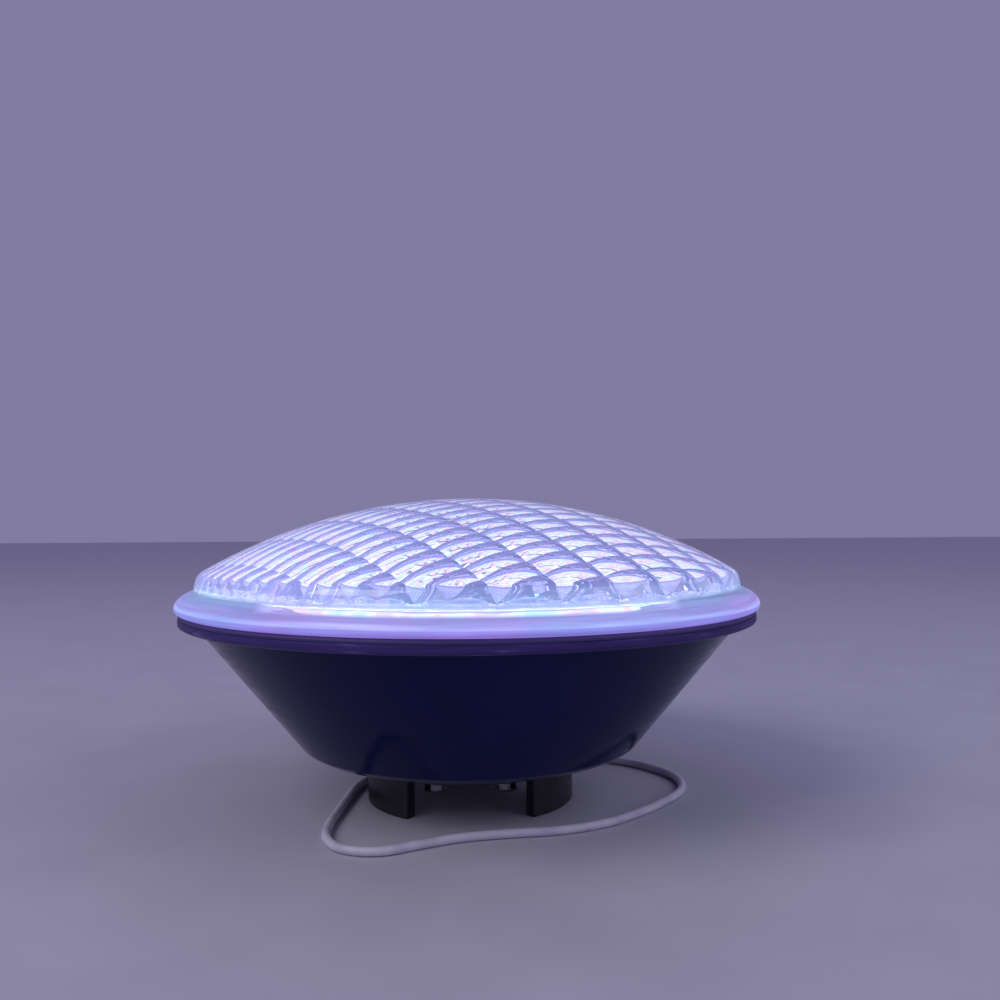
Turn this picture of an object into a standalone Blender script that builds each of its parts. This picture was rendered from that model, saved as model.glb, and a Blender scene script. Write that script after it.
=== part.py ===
"""Underwater pool light: a 178 mm sealed LED lamp with a prismatic glass lens, standing on its feet.

Metres, +Z up. The origin is on the lamp's axis, in the plane that its three feet stand on.
Most pieces are turned about the Z axis from an outline of (radius, height) points, given in
millimetres and running down the outer side first. Neighbouring pieces keep a gap of 0.3 mm.
"""

from math import acos, cos, degrees, pi, radians, sin

import bmesh
import bpy
from mathutils import Matrix, Vector

MM = 0.001
GAP = 0.3  # between pieces that touch

# Driving dimensions, in millimetres.
LAMP_RADIUS = 89.0
LAMP_HEIGHT = 93.0
LENS_CURVE = 163.6  # radius of the lens's outer dome
LENS_THICKNESS = 4.0
DOME_EDGE_RADIUS = 82.3
GLASS_FOOT_Z = 59.7
SEAL_THICKNESS = 0.8

RIM_RADIUS = 88.0
RIM_FACE_FOOT_Z = 56.8
RIM_LIP_RADIUS = 85.2
RIM_LIP_Z = 55.6
RIM_INNER_RADIUS = 80.0
CONE_TOP_RADIUS = 82.7
CONE_SLOPE = 0.81  # radius lost per unit of height
CONE_WALL = 3.2  # measured along the radius
HOUSING_FLOOR_Z = 16.0
HOUSING_FLOOR_THICKNESS = 2.5
REAR_OPENING_RADIUS = 19.9

CAP_RADIUS = 32.0
CAP_SKIRT_WALL = 3.5
CAP_DISC_THICKNESS = 3.0
CAP_HUB_RADIUS = 19.5
CAP_HUB_TOP_Z = 20.0
FOOT_AZIMUTHS = (90.0, 210.0, 330.0)
FOOT_GAP_WIDTH_DEG = 70.0
FOOT_GAP_TOP_Z = 11.0
BASE_SCREW_CIRCLE = 25.0

TERMINAL_X = 11.0
TERMINAL_Y = -8.0
TERMINAL_THREAD_RADIUS = 1.9
TERMINAL_HEAD_FOOT_Z = 3.1
TERMINAL_HEAD_HEIGHT = 2.5
WASHER_THICKNESS = 1.0
LUG_THICKNESS = 0.8
LUG_BARREL_START = 5.5  # behind the terminal's axis
LUG_BARREL_END = 11.0

CARRIER_Z = 40.0
CARRIER_THICKNESS = 2.0
CARRIER_RADIUS = 66.2
LED_BOARD_RADIUS = 58.0
LED_BOARD_THICKNESS = 1.6
LED_RINGS = ((6, 20.0, 30.0), (12, 46.0, 15.0))  # count, radius, azimuth of the first
LED_COLOURS = ("red", "green", "blue")
LED_SCREW_CIRCLE = 34.0
PLATE_SCREW_AZIMUTHS = (0.0, 120.0, 240.0)

DRIVER_BOARD_Z = 27.0
DRIVER_BOARD_RADIUS = 44.0
DRIVER_BOARD_THICKNESS = 1.6
DRIVER_SCREW_CIRCLE = 36.0
RIBBON_Y = 33.0
RIBBON_WIDTH = 11.0
RIBBON_THICKNESS = 0.8

LEAD_DIAMETER = 2.5
LEAD_POINT_SPACING = 6.0
COIL_CENTRE = (0.0, 64.0)
COIL_INNER_RADIUS = 10.3
COIL_OUTER_RADIUS = 18.0
COIL_HEIGHT = 10.3
LEAD_ROUTE = (
    (-18.5, 12.0, 3.2),
    (-22.8, 14.4, 2.3),
    (-27.5, 15.5, 1.5),
    (-33.0, 12.0, 1.3),
    (-36.3, 3.0, 1.3),
    (-37.5, -8.0, 1.3),
    (-38.5, -20.0, 1.3),
    (-39.5, -32.0, 1.3),
    (-39.0, -44.0, 1.3),
    (-34.0, -53.0, 1.3),
    (-24.0, -56.0, 1.3),
    (-14.0, -51.5, 1.3),
    (-3.0, -46.5, 1.3),
    (10.0, -43.8, 1.3),
    (25.0, -41.5, 1.3),
    (38.0, -36.0, 1.3),
    (49.0, -27.0, 1.3),
    (59.0, -16.0, 1.3),
    (66.0, -5.0, 1.3),
    (67.5, 8.0, 1.3),
    (62.5, 20.0, 1.3),
    (54.0, 29.5, 1.3),
    (44.0, 36.0, 1.3),
    (34.5, 42.0, 1.3),
    (27.0, 49.0, 1.3),
    (23.0, 56.5, 1.3),
    (21.6, 60.2, 1.3),
)
LEAD_TAIL_ROUTE = (
    (-17.1, 54.2, 7.6),
    (-17.9, 50.0, 5.8),
    (-18.7, 46.0, 3.6),
    (-19.5, 42.0, 2.5),
)
CONNECTOR_CENTRE = (-20.9, 35.0, 2.5)
CONNECTOR_SIZE = (6.6, 13.0, 4.6)
CONNECTOR_TURN_DEG = -11.3

TURN_STEPS = 60
SMALL_TURN_STEPS = 20

# Heights that follow from the ones above.
DOME_CENTRE_Z = LAMP_HEIGHT - LENS_CURVE
RIM_TOP_Z = GLASS_FOOT_Z - SEAL_THICKNESS - 2 * GAP
HOUSING_INSIDE_Z = HOUSING_FLOOR_Z + HOUSING_FLOOR_THICKNESS
CAP_TOP_Z = HOUSING_FLOOR_Z - SEAL_THICKNESS - 2 * GAP
CAP_UNDERSIDE_Z = CAP_TOP_Z - CAP_DISC_THICKNESS
WASHER_Z = TERMINAL_HEAD_FOOT_Z + TERMINAL_HEAD_HEIGHT + GAP
LUG_Z = WASHER_Z + WASHER_THICKNESS + GAP
POST_FOOT_Z = LUG_Z + LUG_THICKNESS + GAP
POST_TOP_Z = CAP_HUB_TOP_Z + 4.0
LED_BOARD_Z = CARRIER_Z + CARRIER_THICKNESS + GAP
LED_Z = LED_BOARD_Z + LED_BOARD_THICKNESS + GAP
DRIVER_TOP_Z = DRIVER_BOARD_Z + DRIVER_BOARD_THICKNESS + GAP


def clear_scene():
    for obj in list(bpy.data.objects):
        bpy.data.objects.remove(obj)


def material(name, colour, roughness, metallic=0.0, transmission=0.0, glow=0.0):
    made = bpy.data.materials.new(name)
    made.use_nodes = True
    shader = made.node_tree.nodes["Principled BSDF"]
    shader.inputs["Base Color"].default_value = (*colour, 1.0)
    shader.inputs["Roughness"].default_value = roughness
    shader.inputs["Metallic"].default_value = metallic
    shader.inputs["Transmission Weight"].default_value = transmission
    shader.inputs["Emission Color"].default_value = (*colour, 1.0)
    shader.inputs["Emission Strength"].default_value = glow
    return made


def cone_radius(z):
    """Outer radius of the housing's cone at height z."""
    return CONE_TOP_RADIUS - CONE_SLOPE * (RIM_LIP_Z - z)


def on_circle(radius, azimuth_deg):
    return (radius * cos(radians(azimuth_deg)), radius * sin(radians(azimuth_deg)))


def arc(centre, radius, start_deg, end_deg, steps):
    """Points of an arc in the (radius, height) plane, both ends included."""
    turns = [start_deg + (end_deg - start_deg) * i / steps for i in range(steps + 1)]
    return [(centre[0] + radius * cos(radians(a)), centre[1] + radius * sin(radians(a))) for a in turns]


def finish_object(name, bm, look, at=(0.0, 0.0, 0.0), turn_deg=0.0):
    """Makes one object from a bmesh whose units are millimetres, placed at a point in millimetres."""
    bmesh.ops.transform(bm, matrix=Matrix.Scale(MM, 4), verts=bm.verts)
    bmesh.ops.recalc_face_normals(bm, faces=bm.faces)
    mesh = bpy.data.meshes.new(name)
    bm.to_mesh(mesh)
    bm.free()
    mesh.materials.append(look)
    mesh.shade_smooth()
    mesh.set_sharp_from_angle(angle=radians(35.0))
    obj = bpy.data.objects.new(name, mesh)
    obj.location = Vector(at) * MM
    obj.rotation_euler.z = radians(turn_deg)
    bpy.context.scene.collection.objects.link(obj)
    return obj


def turned_bmesh(outline, steps, closed=True):
    """An outline of (radius, height) points turned once round the Z axis."""
    bm = bmesh.new()
    verts = [bm.verts.new((r, 0.0, z)) for r, z in outline]
    ends = verts[1:] + verts[:1] if closed else verts[1:]
    edges = [bm.edges.new(pair) for pair in zip(verts, ends)]
    bmesh.ops.spin(
        bm,
        geom=verts + edges,
        cent=(0.0, 0.0, 0.0),
        axis=(0.0, 0.0, 1.0),
        angle=2 * pi,
        steps=steps,
        use_merge=True,
    )
    bmesh.ops.remove_doubles(bm, verts=bm.verts, dist=1e-4)
    return bm


def turned(name, outline, look, steps=TURN_STEPS, at=(0.0, 0.0, 0.0)):
    """A turned ring, or a turned solid where the outline starts and ends on the axis."""
    on_axis = outline[0][0] == 0.0 and outline[-1][0] == 0.0
    return finish_object(name, turned_bmesh(outline, steps, closed=not on_axis), look, at)


def ring_outline(inner, outer, low, high):
    return [(outer, high), (outer, low), (inner, low), (inner, high)]


def disc_outline(radius, low, high, edge=0.0):
    """A solid disc, with a small chamfer round its top edge if edge is given."""
    top = [(radius - edge, high), (radius, high - edge)] if edge else [(radius, high)]
    return [(0.0, high), *top, (radius, low), (0.0, low)]


def extruded_bmesh(outline, depth):
    """A flat outline of (x, y) points drawn up by depth from z = 0."""
    bm = bmesh.new()
    face = bm.faces.new([bm.verts.new((x, y, 0.0)) for x, y in outline])
    grown = bmesh.ops.extrude_face_region(bm, geom=[face])
    top = [v for v in grown["geom"] if isinstance(v, bmesh.types.BMVert)]
    bmesh.ops.translate(bm, vec=(0.0, 0.0, depth), verts=top)
    return bm


def block_bmesh(size, edge=0.0):
    """A box centred on the origin, with its edges bevelled."""
    bm = bmesh.new()
    bmesh.ops.create_cube(bm, size=1.0)
    bmesh.ops.scale(bm, vec=size, verts=bm.verts)
    if edge:
        bmesh.ops.bevel(bm, geom=bm.edges, offset=edge, segments=1, affect="EDGES")
    return bm


def add_cylinder(bm, radius, low, high, at, steps=SMALL_TURN_STEPS):
    """Adds an upright cylinder to a bmesh."""
    middle = Matrix.Translation((at[0], at[1], (low + high) / 2))
    bmesh.ops.create_cone(
        bm,
        cap_ends=True,
        segments=steps,
        radius1=radius,
        radius2=radius,
        depth=high - low,
        matrix=middle,
    )


def helper(name, bm, at=(0.0, 0.0, 0.0)):
    """A shape that only cuts or joins, and isn't a piece itself."""
    obj = finish_object(name, bm, LOOKS["helper"], at)
    obj.hide_render = True
    obj.display_type = "WIRE"
    return obj


def combine(obj, other, operation):
    step = obj.modifiers.new(other.name, "BOOLEAN")
    step.operation = operation
    step.object = other
    step.solver = "EXACT"


def holes_bmesh(radius, low, high, places, steps=SMALL_TURN_STEPS):
    bm = bmesh.new()
    for place in places:
        add_cylinder(bm, radius, low, high, place, steps)
    return bm


LOOKS = {
    "glass": material("lens_glass", (0.80, 0.82, 1.0), 0.05, transmission=0.9),
    "seal": material("seal_rubber", (0.03, 0.03, 0.04), 0.6),
    "housing": material("housing_gloss", (0.012, 0.014, 0.06), 0.15),
    "reflector": material("reflector_white", (0.85, 0.85, 0.9), 0.3),
    "aluminium": material("plate_aluminium", (0.75, 0.76, 0.78), 0.35, metallic=1.0),
    "led_board": material("led_board_white", (0.85, 0.86, 0.88), 0.45),
    "led_red": material("led_red", (1.0, 0.25, 0.3), 0.2, glow=4.0),
    "led_green": material("led_green", (0.3, 1.0, 0.75), 0.2, glow=4.0),
    "led_blue": material("led_blue", (0.35, 0.4, 1.0), 0.2, glow=4.0),
    "steel": material("screw_steel", (0.6, 0.6, 0.62), 0.25, metallic=1.0),
    "brass": material("terminal_brass", (0.75, 0.55, 0.22), 0.25, metallic=1.0),
    "driver_board": material("board_green", (0.02, 0.16, 0.08), 0.4),
    "black_part": material("component_black", (0.02, 0.02, 0.022), 0.4),
    "capacitor": material("capacitor_sleeve", (0.02, 0.03, 0.12), 0.3),
    "copper": material("inductor_copper", (0.72, 0.35, 0.16), 0.3, metallic=1.0),
    "ribbon": material("ribbon_grey", (0.45, 0.45, 0.47), 0.5),
    "red_wire": material("wire_red", (0.5, 0.02, 0.02), 0.4),
    "black_wire": material("wire_black", (0.015, 0.015, 0.016), 0.4),
    "cap": material("cap_plastic", (0.012, 0.012, 0.02), 0.35),
    "lead": material("lead_pale", (0.62, 0.60, 0.66), 0.45),
    "connector": material("connector_white", (0.75, 0.74, 0.72), 0.4),
    "helper": material("helper", (1.0, 0.0, 1.0), 1.0),
}


def make_front_lens():
    """Dome, short upright wall and flange in one moulding of glass."""
    edge_deg = degrees(acos(DOME_EDGE_RADIUS / LENS_CURVE))
    dome = arc((0.0, DOME_CENTRE_Z), LENS_CURVE, 90.0, edge_deg, 8)
    inner_curve = LENS_CURVE - LENS_THICKNESS
    inner_edge_radius = DOME_EDGE_RADIUS - 2.8
    inner_edge_deg = degrees(acos(inner_edge_radius / inner_curve))
    inside = arc((0.0, DOME_CENTRE_Z), inner_curve, inner_edge_deg, 90.0, 5)
    wall = [(82.9, 69.9), (83.4, 67.0)]
    flange = [
        (85.2, 65.9),
        (87.9, 64.0),
        (LAMP_RADIUS, 61.8),
        (LAMP_RADIUS, 60.7),
        (87.8, GLASS_FOOT_Z),
        (80.6, GLASS_FOOT_Z),
        (79.8, 66.8),
    ]
    outline = [(0.0, LAMP_HEIGHT), *dome[1:], *wall, *flange, *inside[:-1]]
    outline.append((0.0, LAMP_HEIGHT - LENS_THICKNESS))
    turned("front_lens", outline, LOOKS["glass"])


def make_lens_seal():
    top = GLASS_FOOT_Z - GAP
    turned("lens_seal", ring_outline(81.2, 87.4, top - SEAL_THICKNESS, top), LOOKS["seal"])


def make_rear_housing():
    """Rim flange and cone in one shell, with blind bosses for the base screws in its floor."""
    foot_corner = 2.0
    foot_radius = cone_radius(HOUSING_FLOOR_Z)
    inner_foot_radius = cone_radius(HOUSING_INSIDE_Z) - CONE_WALL
    outside = [
        (RIM_RADIUS, RIM_TOP_Z),
        (RIM_RADIUS, RIM_FACE_FOOT_Z),
        (RIM_LIP_RADIUS, RIM_LIP_Z),
        (CONE_TOP_RADIUS, RIM_LIP_Z),
        (cone_radius(HOUSING_FLOOR_Z + foot_corner), HOUSING_FLOOR_Z + foot_corner),
        (foot_radius - foot_corner, HOUSING_FLOOR_Z),
    ]
    inside = [
        (REAR_OPENING_RADIUS, HOUSING_FLOOR_Z),
        (REAR_OPENING_RADIUS, HOUSING_INSIDE_Z),
        (inner_foot_radius, HOUSING_INSIDE_Z),
        (CONE_TOP_RADIUS - CONE_WALL, RIM_LIP_Z),
        (RIM_INNER_RADIUS, RIM_TOP_Z),
    ]
    housing = turned("rear_housing", outside + inside, LOOKS["housing"])
    places = [on_circle(BASE_SCREW_CIRCLE, a) for a in FOOT_AZIMUTHS]
    bosses = holes_bmesh(4.0, HOUSING_FLOOR_Z + 1.0, 26.0, places, 16)
    combine(housing, helper("boss_shapes", bosses), "UNION")
    bores = holes_bmesh(1.8, HOUSING_FLOOR_Z - 1.0, 24.5, places, 12)
    combine(housing, helper("boss_bores", bores), "DIFFERENCE")


def make_reflector():
    """Thin white cone from the LED board's edge out to the foot of the lens."""
    wall = 1.2
    foot, top = (60.0, LED_Z + 0.2), (RIM_INNER_RADIUS - GAP - wall, RIM_TOP_Z)
    outline = [(top[0] + wall, top[1]), (foot[0] + wall, foot[1]), foot, top]
    turned("reflector", outline, LOOKS["reflector"])


def make_light_source():
    """Carrier plate, LED board, its screws and the emitters on it."""
    board_top = LED_BOARD_Z + LED_BOARD_THICKNESS
    places = [on_circle(LED_SCREW_CIRCLE, a) for a in PLATE_SCREW_AZIMUTHS]
    cuts = holes_bmesh(1.8, CARRIER_Z - 1.0, board_top + 1.0, places, 12)
    slot = block_bmesh((RIBBON_WIDTH + 1.6, RIBBON_THICKNESS + 2.0, 8.0))
    bmesh.ops.translate(slot, vec=(0.0, RIBBON_Y, CARRIER_Z + 2.0), verts=slot.verts)
    cuts = helper("plate_cuts", cuts)
    slot = helper("ribbon_slot", slot)
    plate = disc_outline(CARRIER_RADIUS, CARRIER_Z, CARRIER_Z + CARRIER_THICKNESS)
    carrier = turned("carrier_plate", plate, LOOKS["aluminium"])
    board = turned("led_board", disc_outline(LED_BOARD_RADIUS, LED_BOARD_Z, board_top), LOOKS["led_board"])
    for flat_piece in (carrier, board):
        combine(flat_piece, cuts, "DIFFERENCE")
        combine(flat_piece, slot, "DIFFERENCE")
    for number, place in enumerate(places, 1):
        make_screw(f"led_board_screw_{number}", place, board_top + GAP, 1.8, 2.8, 1.3, 7.5, head_up=True)
    number = 0
    for count, radius, first_deg in LED_RINGS:
        for i in range(count):
            number += 1
            azimuth = first_deg + 360.0 * i / count
            make_emitter(number, on_circle(radius, azimuth), LED_COLOURS[number % len(LED_COLOURS)])


def make_emitter(number, place, colour):
    """One LED: a round base with a dome over it."""
    dome = arc((0.0, 1.2), 2.6, 0.0, 90.0, 2)
    outline = [(0.0, 3.8), *reversed(dome[:-1]), (3.6, 1.2), (3.6, 0.0), (0.0, 0.0)]
    turned(f"led_{number:02d}", outline, LOOKS["led_" + colour], 12, at=(*place, LED_Z))


def make_screw(name, place, seat_z, head_height, head_radius, shank_radius, shank_length, head_up):
    """A domed screw whose head rests against seat_z, with its shank on the other side of it."""
    side = 1.0 if head_up else -1.0
    outline = [
        (0.0, head_height),
        (head_radius * 0.75, head_height),
        (head_radius, 0.0),
        (shank_radius, 0.0),
        (shank_radius, -shank_length),
        (0.0, -shank_length),
    ]
    outline = [(r, side * z) for r, z in outline]
    outline = outline if head_up else outline[::-1]
    return turned(name, outline, LOOKS["steel"], 12, at=(*place, seat_z))


def make_driver():
    """Driver board on three spacers, with its parts and the ribbon to the LED board."""
    places = [on_circle(DRIVER_SCREW_CIRCLE, a) for a in PLATE_SCREW_AZIMUTHS]
    board_top = DRIVER_BOARD_Z + DRIVER_BOARD_THICKNESS
    board = turned(
        "driver_board",
        disc_outline(DRIVER_BOARD_RADIUS, DRIVER_BOARD_Z, board_top),
        LOOKS["driver_board"],
        36,
    )
    holes = holes_bmesh(1.7, DRIVER_BOARD_Z - 1.0, board_top + 1.0, places, 12)
    combine(board, helper("driver_holes", holes), "DIFFERENCE")
    spacer_foot, spacer_top = HOUSING_INSIDE_Z + GAP, DRIVER_BOARD_Z - GAP
    spacer = [
        (0.0, spacer_foot + 1.0),
        (1.6, spacer_foot + 1.0),
        (1.6, spacer_top),
        (3.0, spacer_top),
        (3.0, spacer_foot),
        (0.0, spacer_foot),
    ]
    for number, place in enumerate(places, 1):
        turned(f"spacer_{number}", spacer, LOOKS["brass"], 12, at=(*place, 0.0))
        make_screw(f"driver_screw_{number}", place, DRIVER_TOP_Z, 1.8, 2.7, 1.2, 6.5, head_up=True)

    can = disc_outline(5.0, 0.0, 9.6, edge=0.8)
    turned("capacitor", can, LOOKS["capacitor"], 20, at=(-18.0, 4.0, DRIVER_TOP_Z))
    inductor = [(9.0, 6.5), (9.0, 1.5), (7.5, 0.0), (4.5, 0.0), (3.0, 1.5), (3.0, 6.5), (4.5, 8.0), (7.5, 8.0)]
    turned("inductor", inductor, LOOKS["copper"], 16, at=(16.0, -14.0, DRIVER_TOP_Z))
    chip = block_bmesh((10.0, 6.0, 1.8), 0.3)
    finish_object("control_chip", chip, LOOKS["black_part"], at=(4.0, 12.0, DRIVER_TOP_Z + 0.9))
    bridge = block_bmesh((9.0, 7.0, 3.0), 0.4)
    finish_object("bridge_rectifier", bridge, LOOKS["black_part"], at=(-2.0, -24.0, DRIVER_TOP_Z + 1.5))
    make_ribbon()


def make_ribbon():
    """Flat ribbon: a tail on the driver board, straight up through the slots, and a tail on the LED board."""
    half = RIBBON_THICKNESS / 2
    low, high = DRIVER_TOP_Z, LED_Z + RIBBON_THICKNESS
    tail_y = RIBBON_Y - 7.0
    outer = RIBBON_Y + half
    inner = RIBBON_Y - half
    outline = [
        (tail_y, low),
        (outer - 0.6, low),
        (outer, low + 0.6),
        (outer, high - 0.6),
        (outer - 0.6, high),
        (tail_y, high),
        (tail_y, high - RIBBON_THICKNESS),
        (inner, high - RIBBON_THICKNESS),
        (inner, low + RIBBON_THICKNESS),
        (tail_y, low + RIBBON_THICKNESS),
    ]
    bm = extruded_bmesh(outline, RIBBON_WIDTH)
    stand_up = Matrix(((0, 0, 1, -RIBBON_WIDTH / 2), (1, 0, 0, 0), (0, 1, 0, 0), (0, 0, 0, 1)))
    bmesh.ops.transform(bm, matrix=stand_up, verts=bm.verts)
    finish_object("led_ribbon", bm, LOOKS["ribbon"])


def make_base():
    """Gasket, cap with three feet, and the screws that hold the cap to the housing."""
    places = [on_circle(BASE_SCREW_CIRCLE, a) for a in FOOT_AZIMUTHS]
    gasket_foot = CAP_TOP_Z + GAP
    gasket = turned(
        "base_gasket",
        ring_outline(20.6, 30.6, gasket_foot, gasket_foot + SEAL_THICKNESS),
        LOOKS["seal"],
        36,
    )
    gasket_holes = holes_bmesh(1.9, gasket_foot - 1.0, gasket_foot + 2.0, places, 12)
    combine(gasket, helper("gasket_holes", gasket_holes), "DIFFERENCE")

    skirt_inside = CAP_RADIUS - CAP_SKIRT_WALL
    outline = [
        (0.0, CAP_HUB_TOP_Z),
        (CAP_HUB_RADIUS - 0.6, CAP_HUB_TOP_Z),
        (CAP_HUB_RADIUS, CAP_HUB_TOP_Z - 0.6),
        (CAP_HUB_RADIUS, CAP_TOP_Z),
        (CAP_RADIUS - 0.6, CAP_TOP_Z),
        (CAP_RADIUS, CAP_TOP_Z - 0.6),
        (CAP_RADIUS, 0.0),
        (skirt_inside, 0.0),
        (skirt_inside, CAP_UNDERSIDE_Z),
        (0.0, CAP_UNDERSIDE_Z),
    ]
    cap = turned("base_cap", outline, LOOKS["cap"])
    combine(cap, helper("foot_gaps", foot_gaps_bmesh(skirt_inside)), "DIFFERENCE")
    terminal_places = [(x, TERMINAL_Y) for x in (-TERMINAL_X, TERMINAL_X)]
    openings = holes_bmesh(3.2, CAP_UNDERSIDE_Z - 1.0, CAP_HUB_TOP_Z + 1.0, terminal_places)
    combine(cap, helper("post_holes", openings), "DIFFERENCE")
    screw_holes = holes_bmesh(1.8, CAP_UNDERSIDE_Z - 1.0, CAP_TOP_Z + 1.0, places, 16)
    combine(cap, helper("cap_screw_holes", screw_holes), "DIFFERENCE")
    for number, place in enumerate(places, 1):
        name = f"base_screw_{number}"
        make_screw(name, place, CAP_UNDERSIDE_Z - GAP, 2.4, 2.8, 1.45, 12.0, head_up=False)


def foot_gaps_bmesh(skirt_inside):
    """Three wedges that cut the skirt into feet, each a sector from inside the skirt to past it."""
    bm = bmesh.new()
    half = FOOT_GAP_WIDTH_DEG / 2
    steps = 6
    for azimuth in FOOT_AZIMUTHS:
        middle = azimuth + 180.0
        turns = [middle - half + 2 * half * i / steps for i in range(steps + 1)]
        inner = [on_circle(skirt_inside - 1.5, a) for a in turns]
        outer = [on_circle(CAP_RADIUS + 3.0, a) for a in turns]
        outline = inner[::-1] + outer
        face = bm.faces.new([bm.verts.new((x, y, -1.0)) for x, y in outline])
        grown = bmesh.ops.extrude_face_region(bm, geom=[face])
        top = [v for v in grown["geom"] if isinstance(v, bmesh.types.BMVert)]
        bmesh.ops.translate(bm, vec=(0.0, 0.0, FOOT_GAP_TOP_Z + 1.0), verts=top)
    return bm


def make_terminal(number, x):
    """One screw terminal: post, fork lug, clamp washer and slotted screw, with its inside lead."""
    at = (x, TERMINAL_Y, 0.0)
    bore_radius = TERMINAL_THREAD_RADIUS + GAP
    post = [
        (0.0, POST_TOP_Z),
        (2.9, POST_TOP_Z),
        (2.9, CAP_UNDERSIDE_Z - GAP),
        (5.0, CAP_UNDERSIDE_Z - GAP),
        (5.0, POST_FOOT_Z),
        (bore_radius, POST_FOOT_Z),
        (bore_radius, CAP_HUB_TOP_Z),
        (0.0, CAP_HUB_TOP_Z),
    ]
    turned(f"terminal_post_{number}", post, LOOKS["brass"], SMALL_TURN_STEPS, at)
    make_fork_lug(number, at)
    washer = ring_outline(bore_radius, 4.4, WASHER_Z, WASHER_Z + WASHER_THICKNESS)
    turned(f"clamp_washer_{number}", washer, LOOKS["steel"], SMALL_TURN_STEPS, at)

    head_top = TERMINAL_HEAD_FOOT_Z + TERMINAL_HEAD_HEIGHT
    screw_outline = [
        (0.0, CAP_HUB_TOP_Z - 1.5),
        (TERMINAL_THREAD_RADIUS, CAP_HUB_TOP_Z - 1.5),
        (TERMINAL_THREAD_RADIUS, head_top),
        (3.7, head_top),
        (3.7, TERMINAL_HEAD_FOOT_Z + 0.7),
        (3.0, TERMINAL_HEAD_FOOT_Z),
        (0.0, TERMINAL_HEAD_FOOT_Z),
    ]
    screw = turned(f"terminal_screw_{number}", screw_outline, LOOKS["steel"], SMALL_TURN_STEPS, at)
    slot = helper(f"screw_slot_{number}", block_bmesh((9.0, 1.0, 2.4)), (x, TERMINAL_Y, TERMINAL_HEAD_FOOT_Z))
    combine(screw, slot, "DIFFERENCE")

    side = 1.0 if x > 0 else -1.0
    lead_route = (
        (x + side * 4.2, TERMINAL_Y, POST_TOP_Z - 2.2),
        (x + side * 7.2, TERMINAL_Y + 2.5, POST_TOP_Z - 1.6),
        (x + side * 9.0, TERMINAL_Y + 7.5, POST_TOP_Z - 0.2),
        (x + side * 9.5, TERMINAL_Y + 10.0, DRIVER_BOARD_Z - 0.6),
    )
    look = LOOKS["red_wire"] if number == 1 else LOOKS["black_wire"]
    make_wire(f"driver_lead_{number}", lead_route, 1.6, 2.0, look)


def make_fork_lug(number, at):
    """A flat fork open to the front, with a round barrel behind it for the core."""
    reach = 4.4
    tongue_half_width = 1.4
    slot = TERMINAL_THREAD_RADIUS + GAP
    right = arc((0.0, 0.0), reach, -45.0, 70.0, 6)
    left = arc((0.0, 0.0), reach, 110.0, 225.0, 6)
    tongue_end = LUG_BARREL_START + 1.5
    tongue = [(tongue_half_width, tongue_end), (-tongue_half_width, tongue_end)]
    notch = arc((0.0, 0.0), slot, 180.0, 0.0, 8)
    outline = [*right, *tongue, *left, (-slot, left[-1][1]), *notch, (slot, right[0][1])]
    lug = finish_object(
        f"fork_lug_{number}", extruded_bmesh(outline, LUG_THICKNESS), LOOKS["steel"], (at[0], at[1], LUG_Z)
    )
    middle_y = (LUG_BARREL_START + LUG_BARREL_END) / 2
    barrel = bmesh.new()
    bmesh.ops.create_cone(
        barrel,
        cap_ends=True,
        segments=16,
        radius1=1.5,
        radius2=1.5,
        depth=LUG_BARREL_END - LUG_BARREL_START,
        matrix=Matrix.Translation((0.0, middle_y, LUG_THICKNESS / 2)) @ Matrix.Rotation(pi / 2, 4, "X"),
    )
    combine(lug, helper(f"lug_barrel_{number}", barrel, (at[0], at[1], LUG_Z)), "UNION")


def smooth_route(route, spacing):
    """Points read at an even spacing from a smooth curve through the route's own points."""
    points = [Vector(p) for p in route]
    ends = [2 * points[0] - points[1], *points, 2 * points[-1] - points[-2]]
    fine = []
    for before, here, there, after in zip(ends, ends[1:], ends[2:], ends[3:]):
        for i in range(20):
            t = i / 20
            fine.append(
                0.5
                * (
                    2 * here
                    + (there - before) * t
                    + (2 * before - 5 * here + 4 * there - after) * t**2
                    + (3 * here - before - 3 * there + after) * t**3
                )
            )
    fine.append(points[-1])
    travelled = [0.0]
    for a, b in zip(fine, fine[1:]):
        travelled.append(travelled[-1] + (b - a).length)
    count = max(3, round(travelled[-1] / spacing))
    even, j = [], 0
    for i in range(count + 1):
        wanted = travelled[-1] * i / count
        while j < len(fine) - 2 and travelled[j + 1] < wanted:
            j += 1
        share = (wanted - travelled[j]) / max(travelled[j + 1] - travelled[j], 1e-9)
        even.append(fine[j].lerp(fine[j + 1], min(share, 1.0)))
    return even


def make_wire(name, route, diameter, spacing, look):
    """A round wire along a smooth curve through a route in millimetres."""
    points = smooth_route(route, spacing)
    curve = bpy.data.curves.new(name, "CURVE")
    curve.dimensions = "3D"
    curve.bevel_depth = diameter / 2 * MM
    curve.bevel_resolution = 2
    curve.use_fill_caps = True
    curve.materials.append(look)
    line = curve.splines.new("POLY")
    line.points.add(len(points) - 1)
    for slot, point in zip(line.points, points):
        slot.co = (*(point * MM), 1.0)
    obj = bpy.data.objects.new(name, curve)
    bpy.context.scene.collection.objects.link(obj)


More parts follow.
